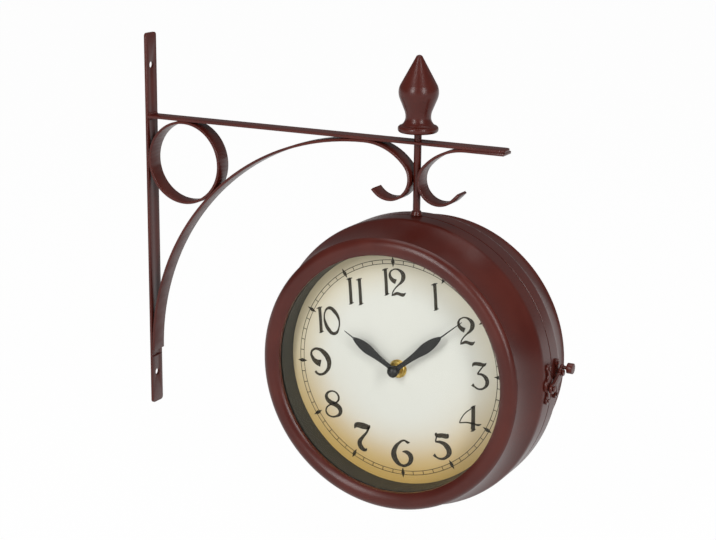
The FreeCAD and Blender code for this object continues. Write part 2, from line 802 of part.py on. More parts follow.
def make_hand(side, name, low, bore, lance, shown_angle):
    """Sheet metal hand with the collet that grips its arbor, turned clockwise to the shown time."""
    body = new_body(f"{side}_{name}")
    pad(body, outline(body, "XY_Plane", lance, low), size.hand_thickness)
    pad(body, circles(body, "XY_Plane", [(0, 0, size.collet_radius)], low - size.collet_height),
        size.collet_height + size.hand_thickness)
    pocket(body, circles(body, "XY_Plane", [(0, 0, bore)], low - size.collet_height),
           size.collet_height + size.hand_thickness)
    place_side(body, side)
    body.Placement.Rotation = FACINGS[side] * Rotation(Vector(0, 0, 1), -shown_angle.value)


def make_hour_hand(side):
    lance = lance_corners(size.hour_hand_length, size.hour_hand_shoulder, size.hour_hand_belly,
                          size.hour_hand_half_width)
    bore = size.tube_radius + size.seat_gap
    make_hand(side, "hour_hand", hour_hand_z, bore, lance, size.hour_hand_angle)


def make_minute_hand(side):
    lance = lance_corners(size.minute_hand_length, size.minute_hand_shoulder, size.minute_hand_belly,
                          size.minute_hand_half_width)
    bore = size.arbor_radius + size.seat_gap
    make_hand(side, "minute_hand", minute_hand_z, bore, lance, size.minute_hand_angle)


def make_hour_tube(side):
    body = new_body(f"{side}_hour_tube")
    low = dial_back - size.arbor_sunk / 2
    turn(body, ring_corners(size.arbor_radius + size.running_clearance, size.tube_radius, low, tube_tip))
    place_side(body, side)


def make_minute_arbor(side):
    body = new_body(f"{side}_minute_arbor")
    low = dial_back - size.arbor_sunk
    pad(body, circles(body, "XY_Plane", [(0, 0, size.arbor_radius)], low), arbor_tip - low)
    place_side(body, side)


def make_cap_nut(side):
    """Domed black nut that closes the end of the minute arbor."""
    body = new_body(f"{side}_cap_nut")
    low = minute_hand_z + size.hand_thickness + size.seat_gap
    bore = size.arbor_radius + size.seat_gap
    bore_top = arbor_tip + size.seat_gap
    skirt = low + size.cap_nut_height / 4
    top = low + size.cap_nut_height
    rise = size.cap_nut_height * 0.75
    turn(body, [
        (bore, low), (size.cap_nut_radius, low), (size.cap_nut_radius, skirt,
                                                  bulge_radius(size.cap_nut_radius, rise)),
        (0, top), (0, bore_top), (bore, bore_top),
    ])
    place_side(body, side)


# ---- Hinge -----------------------------------------------------------------------------------------

hinge_x = size.rod_reach - size.case_radius - size.hinge_barrel_radius - size.seat_gap * 5
third = size.hinge_height / 3


def cylinder(radius, height, x, y, z, rotation=Rotation()):
    """Part cylinder bound to the sheet; it runs along its own z from the given point."""
    shape = document.addObject("Part::Cylinder", "round")
    bind(shape, "Radius", radius)
    bind(shape, "Height", height)
    place(shape, x, y, z, rotation)
    return shape


def box(length, width, height, x, y, z):
    shape = document.addObject("Part::Box", "block")
    bind(shape, "Length", length)
    bind(shape, "Width", width)
    bind(shape, "Height", height)
    place(shape, x, y, z)
    return shape


def fuse(shapes):
    result = document.addObject("Part::MultiFuse", "joined")
    result.Shapes = shapes
    return result


def cut(base, tool):
    result = document.addObject("Part::Cut", "cut")
    result.Base = base
    result.Tool = tool
    return result


def group(shapes):
    result = document.addObject("Part::Compound", "group")
    result.Links = shapes
    return result


def make_hinge_leaf(side):
    """Flat leaf riveted beside the seam, with the knuckles of its own half: the middle one on the front
    leaf, the outer two on the rear leaf. The other half's knuckles get clearance."""
    half = size.hinge_height / 2
    gap = size.hinge_knuckle_gap
    leaf_x = size.rod_reach - size.case_radius - size.hinge_leaf_thickness - size.seat_gap
    low_z = case_z - half
    width = size.hinge_leaf_width
    leaf_y = -width if side == "front" else as_size(0)
    leaf = box(size.hinge_leaf_thickness, width, size.hinge_height, leaf_x, leaf_y, low_z)
    barrel = size.hinge_barrel_radius
    own = [1] if side == "front" else [0, 2]
    others = [0, 2] if side == "front" else [1]
    clear = [cylinder(barrel + gap, third + gap * 2, hinge_x, 0, low_z + third * number - gap)
             for number in others]
    trimmed = cut(leaf, fuse(clear) if len(clear) > 1 else clear[0])
    knuckles = [cylinder(barrel, third - gap, hinge_x, 0, low_z + third * number + gap / 2)
                for number in own]
    if side == "front":
        bore = size.hinge_pin_radius + size.running_clearance
    else:
        bore = size.hinge_pin_radius + size.seat_gap
    hole = cylinder(bore, size.hinge_height, hinge_x, 0, low_z)
    keep(cut(fuse([trimmed] + knuckles), hole), f"hinge_leaf_{side}")


def make_hinge_pin():
    """Headed pin through all three knuckles, held by the rear leaf's two."""
    head = size.hinge_pin_head
    low_z = case_z - size.hinge_height / 2
    shank = cylinder(size.hinge_pin_radius, size.hinge_height + head, hinge_x, 0, low_z - head)
    cap_z = low_z + size.hinge_height
    cap = cylinder(size.hinge_pin_radius * 1.5, head, hinge_x, 0, cap_z + size.seat_gap)
    keep(fuse([shank, cap]), "hinge_pin")


def rivet(x, y, z, radius, head_radius, grip, outward):
    """Rivet along X: a low head outside at x and a shank of length grip going inwards."""
    facing = Rotation(Vector(0, 1, 0), 90 if outward > 0 else -90)
    head = cylinder(head_radius, size.rivet_head_height, x, y, z, facing)
    start = x - grip * outward
    shank = cylinder(radius, grip + size.seat_gap, start, y, z, facing)
    return fuse([head, shank])


def hinge_rivet_places(side):
    sign = -1 if side == "front" else 1
    out = (size.hinge_leaf_width + size.hinge_barrel_radius) / 2 + size.hinge_rivet_radius
    return [(out * sign, case_z + third * number) for number in (-1, 1)]


def make_hinge_rivets(side):
    """Two rivets that hold a leaf to its shell."""
    face = size.rod_reach - size.case_radius - size.hinge_leaf_thickness - size.seat_gap * 2
    grip = size.hinge_leaf_thickness + size.case_wall * 2
    pieces = [rivet(face, y, z, size.hinge_rivet_radius, size.hinge_rivet_head_radius, grip, -1)
              for y, z in hinge_rivet_places(side)]
    keep(group(pieces), f"hinge_rivets_{side}")


# ---- Latch -----------------------------------------------------------------------------------------

latch_x = size.rod_reach + size.case_radius
latch_face = latch_x + size.latch_plate_thickness
latch_pivot_z = case_z + size.latch_pivot_rise
hook_low = latch_face + size.latch_hook_lift
hook_high = hook_low + size.latch_hook_thickness
hook_span = size.latch_plate_offset * 2 / size.latch_hook_tilt.turned()[0]
latch_stud_z = latch_pivot_z + size.latch_plate_offset * 2 * (
    size.latch_hook_tilt.turned()[1] / size.latch_hook_tilt.turned()[0])


def latch_nail_places(side):
    """Nails at the foot and the head of a plate."""
    sign = -1 if side == "front" else 1
    rise = size.latch_plate_height / 2 - size.latch_nail_head_radius * 2
    return [(size.latch_plate_offset * sign, case_z - rise), (size.latch_plate_offset * sign, case_z + rise)]


def leaf_corners(middle):
    """Leaf-shaped plate about (middle, 0): a round foot and head, a waist at each and a full belly."""
    half, wide = size.latch_plate_height / 2, size.latch_plate_width / 2
    lobe = size.latch_nail_head_radius * 2
    waist = lobe * 0.55
    lobe_z = half - lobe
    belly = wide * 0.7
    return [
        (middle - lobe, -lobe_z, lobe), (middle, -half, lobe), (middle + lobe, -lobe_z),
        (middle + waist, lobe - lobe_z, -belly), (middle + wide, -belly, wide * 1.2),
        (middle + wide, belly, -belly), (middle + waist, lobe_z - lobe), (middle + lobe, lobe_z, lobe),
        (middle, half, lobe), (middle - lobe, lobe_z), (middle - waist, lobe_z - lobe, -belly),
        (middle - wide, belly, wide * 1.2), (middle - wide, -belly, -belly), (middle - waist, lobe - lobe_z),
    ]


def make_latch_plate(side):
    """Cast plate bent to the case: the leaf outline cut from a band that wraps the drum."""
    sign = -1 if side == "front" else 1
    stock = document.addObject("PartDesign::Body", f"latch_{side}_leaf")
    corners = leaf_corners(size.latch_plate_offset * sign)
    reach = size.latch_plate_thickness * 3
    pad(stock, outline(stock, "YZ_Plane", corners), reach)
    place(stock, x=latch_x - size.latch_plate_thickness * 1.5, z=case_z)
    along = Rotation(Vector(1, 0, 0), -90)
    start_y = -(size.latch_plate_offset * 2)
    length = size.latch_plate_offset * 4
    seat = size.case_radius + size.seat_gap
    wrap = cylinder(seat + size.latch_plate_thickness, length, size.rod_reach, start_y, case_z, along)
    drum = cylinder(seat, length, size.rod_reach, start_y, case_z, along)
    band = cut(wrap, drum)
    bent = document.addObject("Part::Common", "bent")
    bent.Base = stock
    bent.Tool = band
    across = Rotation(Vector(0, 1, 0), 90)
    stud_z = latch_pivot_z if side == "front" else latch_stud_z
    holes = [cylinder(size.latch_stud_radius + size.seat_gap, reach * 2, latch_x - reach,
                      size.latch_plate_offset * sign, stud_z, across)]
    holes += [cylinder(size.latch_nail_radius + size.seat_gap, reach * 2, latch_x - reach, y, z, across)
              for y, z in latch_nail_places(side)]
    keep(cut(bent, fuse(holes)), f"latch_plate_{side}")


def make_latch_nails(side):
    """Two round-headed nails through the plate and the shell."""
    half = size.latch_plate_height / 2 - size.latch_nail_head_radius * 2
    fall = size.case_radius - (size.case_radius * size.case_radius - half * half).root()
    face = latch_face - fall + size.latch_nail_head_rise
    grip = size.latch_plate_thickness + size.case_wall * 2 + fall
    pieces = [rivet(face, y, z, size.latch_nail_radius, size.latch_nail_head_radius, grip, 1)
              for y, z in latch_nail_places(side)]
    keep(group(pieces), f"latch_nails_{side}")


def make_latch_stud(side, label):
    """Headed stud: the front one is the hook's pivot, the rear one is what the hook drops over."""
    sign = -1 if side == "front" else 1
    stud_z = latch_pivot_z if side == "front" else latch_stud_z
    start = latch_x - size.case_wall * 2
    under_head = hook_high + size.latch_slack
    across = Rotation(Vector(0, 1, 0), 90)
    y = size.latch_plate_offset * sign
    shank = cylinder(size.latch_stud_radius, under_head - start + size.seat_gap, start, y, stud_z, across)
    head = cylinder(size.latch_stud_head_radius, size.latch_stud_head_height, under_head, y, stud_z, across)
    keep(fuse([shank, head]), label)


def make_latch_hook():
    """Cast hook: an eye on the pivot, a tapered arm, a head notched from below for the stud, and a
    horn that ends in a round knob for the finger. Drawn with its arm along x and its face towards z."""
    body = new_body("latch_hook")
    eye, head, span = size.latch_eye_radius, size.latch_head_radius, hook_span
    waist = eye * 0.6
    arm = [
        (eye * 0.5, -waist), (span - head * 0.5, -waist), (span - head * 0.5, waist), (eye * 0.5, waist),
    ]
    horn = size.latch_knob_reach
    nose = [(span, -waist * 0.2), (span + horn, waist * 0.4), (span + horn, waist * 1.6), (span, head * 0.9)]
    thickness = size.latch_hook_thickness
    pad(body, circles(body, "XY_Plane", [(0, 0, eye)]), thickness)
    pad(body, outline(body, "XY_Plane", arm), thickness)
    pad(body, circles(body, "XY_Plane", [(span, 0, head)]), thickness)
    pad(body, outline(body, "XY_Plane", nose), thickness)
    stem, stand_off = size.latch_knob_stem_radius, size.latch_knob_stand_off
    pad(body, circles(body, "XY_Plane", [(span + horn, waist, stem * 1.5)]), thickness)
    pad(body, circles(body, "XY_Plane", [(span + horn, waist, stem)], thickness), stand_off)
    knob = size.latch_knob_radius
    pad(body, circles(body, "XY_Plane", [(span + horn, waist, knob)], thickness + stand_off),
        size.latch_knob_height)
    slack = size.latch_slack
    pivot = size.latch_stud_radius + size.running_clearance
    pocket(body, circles(body, "XY_Plane", [(0, 0, pivot)]), thickness)
    slot = size.latch_stud_radius + slack
    mouth = [(span - slot, -(head * 2)), (span + slot, -(head * 2)), (span + slot, 0, slot),
             (span, slot, slot), (span - slot, 0)]
    pocket(body, outline(body, "XY_Plane", mouth), thickness)
    swing = Rotation(Vector(0, 0, 1), size.latch_hook_tilt.value)
    facing = Rotation(Vector(1, 1, 1), 120) * swing
    place(body, x=hook_low, y=-size.latch_plate_offset, z=latch_pivot_z, rotation=facing)


# ---- Build, check and write ------------------------------------------------------------------------

make_wall_bar()
make_top_arm()
make_corner_ring()
make_brace()
make_end_scroll()
make_hanger_rod()
make_finial()
make_rod_collar()
make_rod_washer()
make_rod_nut()
for side in FACINGS:
    make_shell(side)
    make_glass(side)
    make_sleeve(side)
    make_dial(side)
    make_retainer(side)
    make_movement(side)
    make_bush(side)
    make_bush_washer(side)
    make_bush_nut(side)
    make_battery(side)
    make_set_wheel(side)
    make_hour_hand(side)
    make_minute_hand(side)
    make_hour_tube(side)
    make_minute_arbor(side)
    make_cap_nut(side)
    make_hinge_leaf(side)
    make_hinge_rivets(side)
    make_latch_plate(side)
    make_latch_nails(side)
make_hinge_pin()
make_latch_stud("front", "latch_pivot")
make_latch_stud("rear", "latch_catch")
make_latch_hook()

document.recompute()
for item in document.Objects:
    if "Invalid" in item.State or "Error" in item.State:
        raise RuntimeError(f"{item.Label} failed: {item.State}")
for item in sub_parts:
    if item.Shape.isNull() or not item.Shape.isValid() or not item.Shape.Solids:
        raise RuntimeError(f"{item.Label} has no valid solid")

os.makedirs("parts", exist_ok=True)
for item in sub_parts:
    item.Shape.exportStep(f"parts/{item.Label}.step")
print(f"{len(sub_parts)} sub-parts written")
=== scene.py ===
import math

import bmesh
import bpy
from mathutils import Matrix, Vector


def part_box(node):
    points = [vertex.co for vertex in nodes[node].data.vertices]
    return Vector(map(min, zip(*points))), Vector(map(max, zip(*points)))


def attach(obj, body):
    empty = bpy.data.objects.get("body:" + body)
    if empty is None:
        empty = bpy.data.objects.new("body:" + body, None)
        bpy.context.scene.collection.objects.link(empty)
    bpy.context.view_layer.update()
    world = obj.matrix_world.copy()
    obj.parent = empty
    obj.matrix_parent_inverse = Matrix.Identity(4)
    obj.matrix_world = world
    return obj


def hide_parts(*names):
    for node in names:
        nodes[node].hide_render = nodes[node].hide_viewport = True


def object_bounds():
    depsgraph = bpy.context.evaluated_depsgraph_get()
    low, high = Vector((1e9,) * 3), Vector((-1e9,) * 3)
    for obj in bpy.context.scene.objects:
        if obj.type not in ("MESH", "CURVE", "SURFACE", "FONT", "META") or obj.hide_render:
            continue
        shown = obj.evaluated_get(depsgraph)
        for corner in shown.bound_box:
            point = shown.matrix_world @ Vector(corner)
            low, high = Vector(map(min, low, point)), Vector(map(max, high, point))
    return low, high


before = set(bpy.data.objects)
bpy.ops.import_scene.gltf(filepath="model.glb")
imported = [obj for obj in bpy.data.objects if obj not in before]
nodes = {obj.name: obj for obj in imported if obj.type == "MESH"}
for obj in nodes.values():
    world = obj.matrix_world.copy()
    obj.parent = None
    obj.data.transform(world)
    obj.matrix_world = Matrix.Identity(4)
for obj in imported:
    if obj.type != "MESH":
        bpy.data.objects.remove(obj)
cad_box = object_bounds()

# ---- The view --------------------------------------------------------------------------------------
# The clock is seen by a long lens, from in front of its hinged dial, a little from the right and a
# little from above. It hangs free in the picture, with no wall behind it.

view_from = Vector((0.7535, -1.1060, 0.3031))
view_turn, view_rise, view_roll = math.radians(27.229), math.radians(14.420), math.radians(0.604)
back = Vector((math.sin(view_turn) * math.cos(view_rise), -math.cos(view_turn) * math.cos(view_rise),
               math.sin(view_rise)))
right = Vector((math.cos(view_turn), math.sin(view_turn), 0))
looking = Matrix((right, back.cross(right), back)).transposed().to_4x4()
lens = bpy.data.cameras.new("portrait_lens")
lens.sensor_width = 36.0
lens.lens = 36.0 * 1710.1 / 716
lens.clip_end = 60.0
camera = bpy.data.objects.new("camera", lens)
camera.matrix_world = Matrix.Translation(view_from) @ looking @ Matrix.Rotation(view_roll, 4, "Z")
bpy.context.scene.collection.objects.link(camera)
bpy.context.scene.camera = camera
bpy.context.scene.view_settings.view_transform = "Standard"


# ---- Studio ----------------------------------------------------------------------------------------
# A pale floor under the clock runs far back and shows white to the lens. Two tall soft boxes stand
# either side of the camera, a large faint one behind on the right lifts the case's side, and one
# hangs above.


class Flow:
    """A value or a colour on its way through a material's nodes, so that sums read as sums."""

    def __init__(self, tree, socket=None):
        self.tree = tree
        self.socket = socket

    def add(self, kind, settings=None, values=None, output=0):
        """Make one node of any kind, and hand back one of its outputs."""
        node = self.tree.nodes.new(kind)
        for name, setting in (settings or {}).items():
            setattr(node, name, setting)
        for name, value in (values or {}).items():
            if isinstance(value, Flow):
                self.tree.links.new(value.socket, node.inputs[name])
            else:
                node.inputs[name].default_value = value
        return Flow(self.tree, node.outputs[output])

    def maths(self, operation, *terms):
        return self.add("ShaderNodeMath", {"operation": operation}, dict(enumerate(terms)))

    def __add__(self, other):
        return self.maths("ADD", self, other)

    def __radd__(self, other):
        return self.maths("ADD", other, self)

    def __sub__(self, other):
        return self.maths("SUBTRACT", self, other)

    def __rsub__(self, other):
        return self.maths("SUBTRACT", other, self)

    def __mul__(self, other):
        return self.maths("MULTIPLY", self, other)

    def __pow__(self, other):
        return self.maths("POWER", self, other)

    def held(self, low, high, new_low=0.0, new_high=1.0):
        """This value eased from low..high to new_low..new_high and kept between them."""
        ends = {"Value": self, 1: low, 2: high, 3: new_low, 4: new_high}
        return self.add("ShaderNodeMapRange", {"interpolation_type": "SMOOTHSTEP"}, ends)

    def blend(self, low, high):
        """A colour between low and high by this value."""
        return self.add("ShaderNodeMix", {"data_type": "RGBA"}, {0: self, 6: low, 7: high}, output=2)

    def own_spot(self):
        """The shaded point in the piece's own coordinates."""
        return self.add("ShaderNodeTexCoord", output=3)

    def noise(self, spot, scale, detail=2.0):
        return self.add("ShaderNodeTexNoise", None, {"Vector": spot, "Scale": scale, "Detail": detail})


def paint(text):
    """A hex colour as Blender's linear one."""
    parts = [int(text[n:n + 2], 16) / 255 for n in (1, 3, 5)]
    return [c / 12.92 if c <= 0.04045 else ((c + 0.055) / 1.055) ** 2.4 for c in parts] + [1.0]


def material(name, colour, roughness, metallic=0.0):
    """A new material with its Principled shader's own values set, and the start of its node flow."""
    made = bpy.data.materials.new(name)
    made.use_nodes = True
    shader = made.node_tree.nodes["Principled BSDF"]
    shader.inputs["Base Color"].default_value = colour
    shader.inputs["Roughness"].default_value = roughness
    shader.inputs["Metallic"].default_value = metallic
    return made, shader, Flow(made.node_tree)


def plug(flow, shader, name):
    flow.tree.links.new(flow.socket, shader.inputs[name])


def make_floor():
    half_side, drop, whiteness = 30.0, 0.05, 0.98
    sweep = bmesh.new()
    bmesh.ops.create_grid(sweep, x_segments=1, y_segments=1, size=half_side)
    bmesh.ops.translate(sweep, vec=(0, 0, cad_box[0][2] - drop), verts=sweep.verts)
    mesh = bpy.data.meshes.new("floor")
    sweep.to_mesh(mesh)
    floor = bpy.data.objects.new("floor", mesh)
    bpy.context.scene.collection.objects.link(floor)
    white, shader, flow = material("white_sweep", paint("#f4f4f2"), 0.9)
    shown = flow.add("ShaderNodeEmission", None, {"Color": (1, 1, 1, 1), "Strength": 1.0})
    ray = flow.add("ShaderNodeLightPath").socket.node
    lens_ray, glossy_ray, through_ray = (Flow(flow.tree, ray.outputs[n]) for n in (0, 3, 6))
    to_lens = (lens_ray + glossy_ray + through_ray) * whiteness
    surface = flow.add("ShaderNodeMixShader", None, {0: to_lens, 2: shown})
    white.node_tree.links.new(shader.outputs[0], surface.socket.node.inputs[1])
    output = white.node_tree.nodes["Material Output"]
    white.node_tree.links.new(surface.socket, output.inputs["Surface"])
    mesh.materials.append(white)


def soft_box(name, place, size, power, aim=Vector((0.22, 0, -0.03))):
    light = bpy.data.lights.new(name, "AREA")
    light.shape = "RECTANGLE"
    light.size, light.size_y = size
    light.energy = power
    lamp = bpy.data.objects.new(name, light)
    lamp.location = place
    lamp.rotation_euler = (aim - Vector(place)).to_track_quat("-Z", "Y").to_euler()
    bpy.context.scene.collection.objects.link(lamp)


def light_room():
    room = bpy.data.worlds.new("white_room")
    bpy.context.scene.world = room
    room.use_nodes = True
    room.node_tree.nodes["Background"].inputs["Color"].default_value = (1, 1, 1, 1)
    room.node_tree.nodes["Background"].inputs["Strength"].default_value = 0.16
    soft_box("left_box", (-0.1, -1.7, 0.75), (0.28, 1.2), 21)
    soft_box("right_box", (1.7, -1.0, 0.75), (0.28, 1.2), 20)
    soft_box("side_box", (1.12, 1.33, 0.45), (2.2, 2.2), 2)
    soft_box("top_box", (0.2, 0.2, 1.6), (1.4, 1.0), 11)


make_floor()
light_room()


# ---- Oxblood enamel --------------------------------------------------------------------------------
# Bar, rod, finial, case and latch are all sprayed with one brown-red enamel. It is semi-gloss, lies a
# little unevenly, and shows a very fine orange peel and a few specks of dust in its highlights.


def oxblood(name):
    peel_scale, peel_depth = 900.0, 0.05
    made, shader, flow = material(name, paint("#481911"), 0.31)
    shader.inputs["IOR"].default_value = 1.38
    spot = flow.own_spot()
    cloud = flow.noise(spot, 22.0, 3.0)
    grain = flow.noise(spot, peel_scale)
    speck = flow.noise(spot, 2600.0, 0.0)
    plug(cloud.held(0.35, 0.65).blend(paint("#44160f"), paint("#4d1c14")), shader, "Base Color")
    plug(cloud.held(0.3, 0.7, 0.3, 0.36) + speck.held(0.72, 0.8) * 0.2, shader, "Roughness")
    height = grain + speck.held(0.7, 0.8) * 0.6
    bump = flow.add("ShaderNodeBump", None,
                    {"Strength": peel_depth, "Distance": 0.0003, "Height": height})
    plug(bump, shader, "Normal")
    return made


enamel = oxblood("oxblood_enamel")


def new_piece(name, shape, finish, body, stands_for=(), rounding=0.0):
    """Hang a finished bmesh in the scene as one piece that rides on a body, its edges rounded if asked."""
    mesh = bpy.data.meshes.new(name)
    shape.to_mesh(mesh)
    shape.free()
    mesh.shade_smooth()
    piece = bpy.data.objects.new(name, mesh)
    if rounding:
        edge = piece.modifiers.new("edge", "BEVEL")
        edge.width, edge.segments, edge.harden_normals = rounding, 2, True
        edge.limit_method, edge.angle_limit = "ANGLE", math.radians(35)
    else:
        mesh.set_sharp_from_angle(angle=math.radians(38))
    bpy.context.scene.collection.objects.link(piece)
    mesh.materials.append(finish)
    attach(piece, body)
    if stands_for:
        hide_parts(*stands_for)
    return piece


# ---- Flat-bar bracket ------------------------------------------------------------------------------
# Wall bar, arm, corner ring, brace and end scroll are bent from one 14 by 2 mm flat bar, welded where
# they touch and painted as one. The bar's edges are rolled, so each has a small soft round.


def merged(node):
    """A copy of a CAD node with its triangles joined up and its flat faces whole."""
    shape = bmesh.new()
    shape.from_mesh(nodes[node].data)
    bmesh.ops.remove_doubles(shape, verts=shape.verts, dist=2e-6)
    bmesh.ops.dissolve_limit(shape, angle_limit=math.radians(0.4), verts=shape.verts, edges=shape.edges)
    return shape


def gathered(shapes):
    """Several bmeshes made into one."""
    whole = bmesh.new()
    for shape in shapes:
        mesh = bpy.data.meshes.new("part")
        shape.to_mesh(mesh)
        shape.free()
        whole.from_mesh(mesh)
        bpy.data.meshes.remove(mesh)
    return whole


for strip in ("wall_bar", "top_arm", "corner_ring", "brace", "end_scroll"):
    new_piece(f"{strip}_painted", merged(strip), enamel, "bracket", [strip], 0.00025)


# ---- Turned pieces ---------------------------------------------------------------------------------
# The rod, its collar and the finial are turned and painted with the bracket. The finial is a hollow
# turned knob: a rounded foot, a drawn-in neck, a full bulb and a long cone with a small round tip.


def profile_points(corners, step=0.0004):
    """An outline's points from corners (x, y) or (x, y, bend): a bend is the radius of the arc that
    runs to the next corner, positive where it turns left."""
    points = []
    for number, corner in enumerate(corners):
        start = Vector(corner[:2])
        end = Vector(corners[(number + 1) % len(corners)][:2])
        points.append(start)
        if len(corner) > 2:
            radius = abs(corner[2])
            chord = end - start
            left = Vector((-chord.y, chord.x)).normalized() * (1 if corner[2] > 0 else -1)
            centre = (start + end) / 2 + left * math.sqrt(max(radius ** 2 - chord.length ** 2 / 4, 0))
            turn = 2 * math.asin(min(chord.length / 2 / radius, 1)) * (1 if corner[2] > 0 else -1)
            count = max(2, min(24, round(abs(turn) * radius / step)))
            for n in range(1, count):
                points.append(centre + Matrix.Rotation(turn * n / count, 2) @ (start - centre))
    return points


def turned(corners, place, steps=128, step=0.0004):
    """Spin an (r, z) outline about z, and set it in place."""
    shape = bmesh.new()
    ring = [shape.verts.new((p.x, 0, p.y)) for p in profile_points(corners, step)]
    edges = [shape.edges.new((a, b)) for a, b in zip(ring, ring[1:] + ring[:1])]
    bmesh.ops.spin(shape, geom=ring + edges, axis=(0, 0, 1), cent=(0, 0, 0), angle=math.tau, steps=steps,
                   use_merge=True)
    bmesh.ops.remove_doubles(shape, verts=shape.verts, dist=1e-6)
    bmesh.ops.recalc_face_normals(shape, faces=shape.faces)
    bmesh.ops.transform(shape, matrix=place, verts=shape.verts)
    return shape


rod_x = sum(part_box("finial")[k].x for k in (0, 1)) / 2


def make_finial():
    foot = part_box("finial")[0].z
    outline = [
        (2.8, 0), (12.6, 0, 2.2), (14.8, 2.2), (14.8, 2.8, 2.2), (12.6, 5.0, -7.47), (9.3, 11.2, -13),
        (10.29, 16.175), (13.61, 24.225, 13), (14.6, 29.2, 12), (13.292, 34.648), (2.8, 53.9, 2.917),
        (0, 56), (0, 18), (2.8, 18),
    ]
    scaled = [tuple(value / 1000 for value in corner) for corner in outline]
    shape = turned(scaled, Matrix.Translation((rod_x, 0, foot)), steps=96)
    new_piece("finial_turned", shape, enamel, "bracket", ["finial"])


def make_rod():
    radius = 0.00275
    low, high = (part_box("hanger_rod")[k].z for k in (0, 1))
    shape = bmesh.new()
    place = Matrix.Translation((rod_x, 0, (low + high) / 2))
    bmesh.ops.create_cone(shape, cap_ends=True, segments=48, radius1=radius, radius2=radius,
                          depth=high - low, matrix=place)
    new_piece("hanger_rod_painted", shape, enamel, "bracket", ["hanger_rod"], 0.0003)
    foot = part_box("rod_collar")[0].z
    collar = [(0.0028, 0), (0.0043, 0, 0.0012), (0.0042, 0.0012, -0.004), (0.0036, 0.003), (0.0028, 0.003)]
    shape = turned(collar, Matrix.Translation((rod_x, 0, foot)), steps=48)
    new_piece("rod_collar_painted", shape, enamel, "bracket", ["rod_collar"])


make_finial()
make_rod()


# ---- Welds -----------------------------------------------------------------------------------------
# Short rippled beads join the strips where they touch: in the arm's corner, either side of the ring's
# two touching lines, and at the brace's and the scroll's. They are painted over with the rest.


def weld(middle, radius, half=0.0062):
    """A bead across the bar, with the ripples of a hand-held weld, through middle (x, z)."""
    ripples = 7
    count = ripples * 6
    outline = [(0, -half)]
    for n in range(count + 1):
        along = -half + 2 * half * n / count
        swell = 0.8 + 0.2 * abs(math.sin(math.pi * ripples * n / count))
        outline.append((radius * swell * (1 - abs(along / half) ** 6 * 0.6), along))
    outline.append((0, half))
    across = Matrix.Translation((middle[0], 0, middle[1])) @ Matrix.Rotation(math.pi / 2, 4, "X")
    return turned(outline, across, steps=16)


def touching(node, axis, other):
    """Where along the other axis a strip comes nearest the bar (axis x) or the arm (axis z)."""
    corners = [v.co for v in nodes[node].data.vertices]
    ends = [c[axis] for c in corners]
    limit = min(ends) + 6e-5 if axis == 0 else max(ends) - 6e-5
    near = [c[other] for c in corners if (c[axis] <= limit if axis == 0 else c[axis] >= limit)]
    return sum(near) / len(near)


under, bar_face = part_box("top_arm")[0].z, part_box("wall_bar")[1].x
ring_z, ring_x = touching("corner_ring", 0, 2), touching("corner_ring", 2, 0)
brace_z, brace_x = touching("brace", 0, 2), touching("brace", 2, 0)
scroll_x = touching("end_scroll", 2, 0)
beside, stand, thin = 0.0055, 0.0003, 0.0007
beads = [weld((bar_face + 0.0006, under - 0.0006), 0.0016),
         weld((bar_face + 0.0004, under + 0.0024), 0.0013)]
for offset in (-beside, beside):
    beads.append(weld((bar_face + stand, ring_z + offset), thin))
    beads.append(weld((bar_face + stand, brace_z + offset), thin))
    for x in (ring_x, brace_x, scroll_x):
        beads.append(weld((x + offset, under - stand), thin))
new_piece("weld_beads", gathered(beads), enamel, "bracket")


# ---- Rod nut and washer ----------------------------------------------------------------------------
# Inside the case a plain hexagon nut and a washer clamp the rod's threaded end. Both are zinc plated,
# a dull blue-grey with a faint crystal mottle. The same zinc is on the rings, rivets, nails and pins.


def zinc(name, roughness=0.34):
    made, shader, flow = material(name, paint("#a9aaad"), roughness, 1.0)
    spot = flow.own_spot()
    crystal = flow.add("ShaderNodeTexVoronoi", None, {"Vector": spot, "Scale": 900.0})
    cloud = flow.noise(spot, 160.0, 3.0)
    plug(crystal.held(0.1, 0.9).blend(paint("#9b9ca1"), paint("#b5b5b3")), shader, "Base Color")
    plug(cloud.held(0.3, 0.7, roughness - 0.08, roughness + 0.1), shader, "Roughness")
    return made


plated = zinc("zinc_plate")
for name, width in (("rod_washer", 0.0001), ("rod_nut", 0.0002)):
    new_piece(f"{name}_plated", merged(name), plated, "bracket", [name], width)


# ---- Case halves -----------------------------------------------------------------------------------
# Each half is spun from sheet steel: a short straight band, a rounded shoulder, a long hollow cove and
# a round bead whose lip is rolled in and hemmed over the pane. The rear half steps down to a spigot
# that the front half's rim closes over, and the rod comes in through both on the seam.

drum_radius, wall = 0.110, 0.0009
case_centre = Vector((rod_x, 0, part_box("front_dial")[0].z / 2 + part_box("front_dial")[1].z / 2))
facing = {
    "front": Matrix.Translation(case_centre) @ Matrix.Rotation(math.radians(90), 4, "X"),
    "rear": Matrix.Translation(case_centre) @ Matrix.Rotation(math.pi, 4, "Z")
    @ Matrix.Rotation(math.radians(90), 4, "X"),
}
carrier = {"front": "front_door", "rear": "bracket"}


def bulge(run, rise):
    return (run * run + rise * rise) / (2 * rise)


